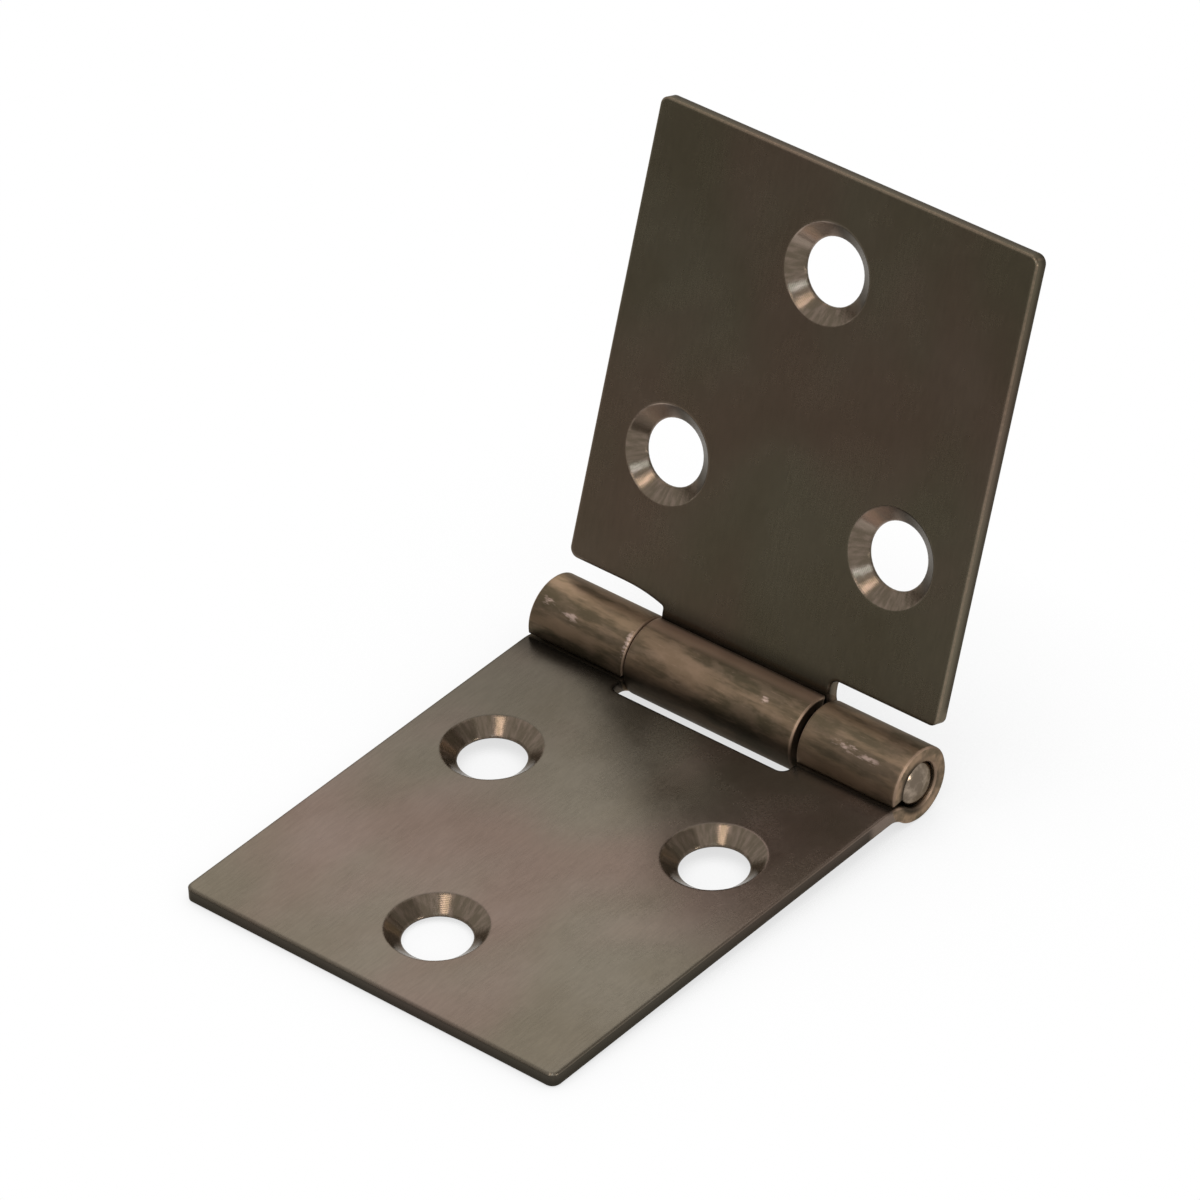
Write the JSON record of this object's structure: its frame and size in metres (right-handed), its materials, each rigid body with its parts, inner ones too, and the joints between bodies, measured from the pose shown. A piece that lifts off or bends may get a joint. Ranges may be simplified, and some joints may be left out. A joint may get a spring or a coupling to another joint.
{
  "type": "back flap hinge",
  "caption": "Wide flat leaves of browned sheet steel, rolled into knuckles that fold about a plain pin, with countersunk screw holes for fixing flaps and rule joints.",
  "frame": {"origin": "on the lower leaf's back face, at the centre of its circle of three screw holes", "axes": "+Z out of the lower leaf's countersunk face, +Y from the lower leaf towards the pin and the raised leaf, +X along the pin"},
  "size_m": [0.0386, 0.0616, 0.0451],
  "materials": {
    "browned_steel": "browned sheet steel, softly glossy, with brighter machined countersinks",
    "pin_steel": "browned steel rod, softly glossy"
  },
  "bodies": {
    "lower": {"lower_leaf": "browned_steel", "pin": "pin_steel"},
    "upper": {"upper_leaf": "browned_steel"}
  },
  "joints": [
    {"name": "fold", "type": "hinge", "parent": "lower", "child": "upper", "pos_m": [0, 0.0231, 0.00175], "axis": [1, 0, 0], "range_deg": [-205, 111]}
  ]
}
